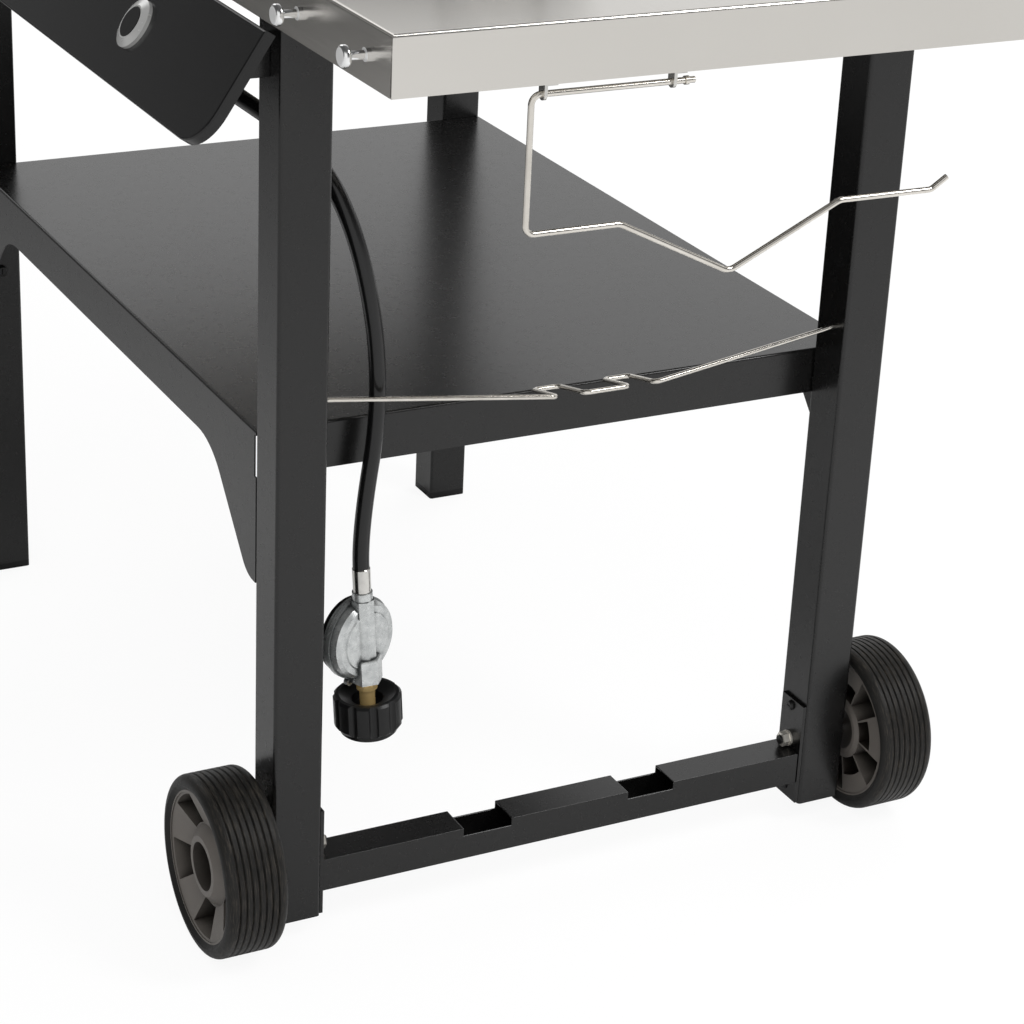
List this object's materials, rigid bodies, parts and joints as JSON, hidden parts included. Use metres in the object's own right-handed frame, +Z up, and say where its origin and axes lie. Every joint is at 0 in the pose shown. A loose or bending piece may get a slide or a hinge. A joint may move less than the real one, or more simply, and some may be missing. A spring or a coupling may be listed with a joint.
{
  "type": "outdoor wok station",
  "caption": "Free-standing outdoor wok burner cart with an overhanging steel top, sloping control panel, lower shelf, wheels at one end, gas hose and wire holders.",
  "frame": {"origin": "on the floor, under the middle of the cart's outline", "axes": "+Z up, +X to the cook's right along the top, -Y towards the cook"},
  "size_m": [1.205, 0.682, 0.9299],
  "materials": {
    "black_steel": "satin powder coat",
    "stainless": "brushed",
    "bright": "polished",
    "nickel_wire": "bright nickel",
    "black_plastic": "satin",
    "igniter_grey": "satin",
    "black_rubber": "gloss",
    "tyre": "matt",
    "hub": "satin",
    "zinc": "cast",
    "zinc_steel": "zinc plated",
    "brass": "turned",
    "iron": "cast",
    "wok_steel": "blued steel",
    "black_screw": "black oxide",
    "ceramic": "glazed"
  },
  "bodies": {
    "cart": {"leg_front_right": "black_steel", "leg_rear_right": "black_steel", "leg_front_left": "black_steel", "leg_rear_left": "black_steel", "rail_front": "black_steel", "rail_rear": "black_steel", "rail_left": "black_steel", "rail_right": "black_steel", "control_panel": "black_steel", "panel_brackets": "black_steel", "lower_shelf": "black_steel", "cross_bar": "black_steel", "bar_end_plates": "black_steel", "table_top": "stainless", "burner_bowl": "stainless", "tool_hooks": "bright", "hook_nuts": "zinc_steel", "axle_nuts": "zinc_steel", "axle_spacers": "zinc_steel", "igniter_nut": "zinc_steel", "hose_ferrule": "zinc_steel", "inlet_ferrule": "zinc_steel", "knob_ring": "zinc_steel", "roll_clips": "zinc_steel", "foot_glides": "black_plastic", "leg_plugs": "black_plastic", "igniter_barrel": "black_plastic", "regulator_cap": "black_plastic", "igniter_bezel": "igniter_grey", "gas_hose": "black_rubber", "regulator_body": "zinc", "regulator_nipple": "brass", "valve_body": "brass", "inlet_fitting": "brass", "feed_tube": "brass", "burner": "iron", "mixer_elbow": "iron", "wok_ring": "iron", "shelf_bolts": "black_screw", "bar_screws": "black_screw", "axle_bolts": "black_screw", "electrode": "ceramic"},
    "front_wheel": {"tyre_front": "tyre", "hub_front": "hub"},
    "rear_wheel": {"tyre_rear": "tyre", "hub_rear": "hub"},
    "cylinder_wire": {"keeper_wire": "nickel_wire"},
    "roll_holder": {"roll_wire": "nickel_wire"},
    "gas_knob": {"knob": "black_plastic", "valve_stem": "brass"},
    "igniter": {"igniter_button": "black_plastic"},
    "hand_nut": {"regulator_nut": "black_plastic"},
    "wok_pan": {"wok": "wok_steel", "wok_handles": "zinc_steel"}
  },
  "joints": [
    {"name": "front_wheel_spin", "type": "hinge", "parent": "cart", "child": "front_wheel", "pos_m": [0.3825, -0.30219, 0.076], "axis": [0, 1, 0], "continuous": true},
    {"name": "rear_wheel_spin", "type": "hinge", "parent": "cart", "child": "rear_wheel", "pos_m": [0.3825, 0.31501, 0.076], "axis": [0, 1, 0], "continuous": true},
    {"name": "cylinder_wire_swing", "type": "hinge", "parent": "cart", "child": "cylinder_wire", "pos_m": [0.3925, 0.00641, 0.471], "axis": [0, -1, 0], "range_deg": [-55, 110]},
    {"name": "roll_holder_swing", "type": "hinge", "parent": "cart", "child": "roll_holder", "pos_m": [0.5944, -0.10259, 0.7584], "axis": [0, 1, 0], "range_deg": [-80, 80]},
    {"name": "knob_turn", "type": "hinge", "parent": "cart", "child": "gas_knob", "pos_m": [-0.211, -0.30717, 0.72293], "axis": [0, -0.8339, 0.5519], "range_deg": [0, 180]},
    {"name": "igniter_press", "type": "slide", "parent": "cart", "child": "igniter", "axis": [0, 0.8339, -0.5519], "range_m": [0, 0.004], "stiffness_N_per_m": 1200, "springref_m": -0.001},
    {"name": "hand_nut_spin", "type": "hinge", "parent": "cart", "child": "hand_nut", "pos_m": [0.3825, -0.17872, 0.19969], "axis": [0, -0.0698, 0.9976], "continuous": true},
    {"name": "wok_lift", "type": "slide", "parent": "cart", "child": "wok_pan", "axis": [0, 0, 1], "range_m": [0, 0.25]}
  ]
}
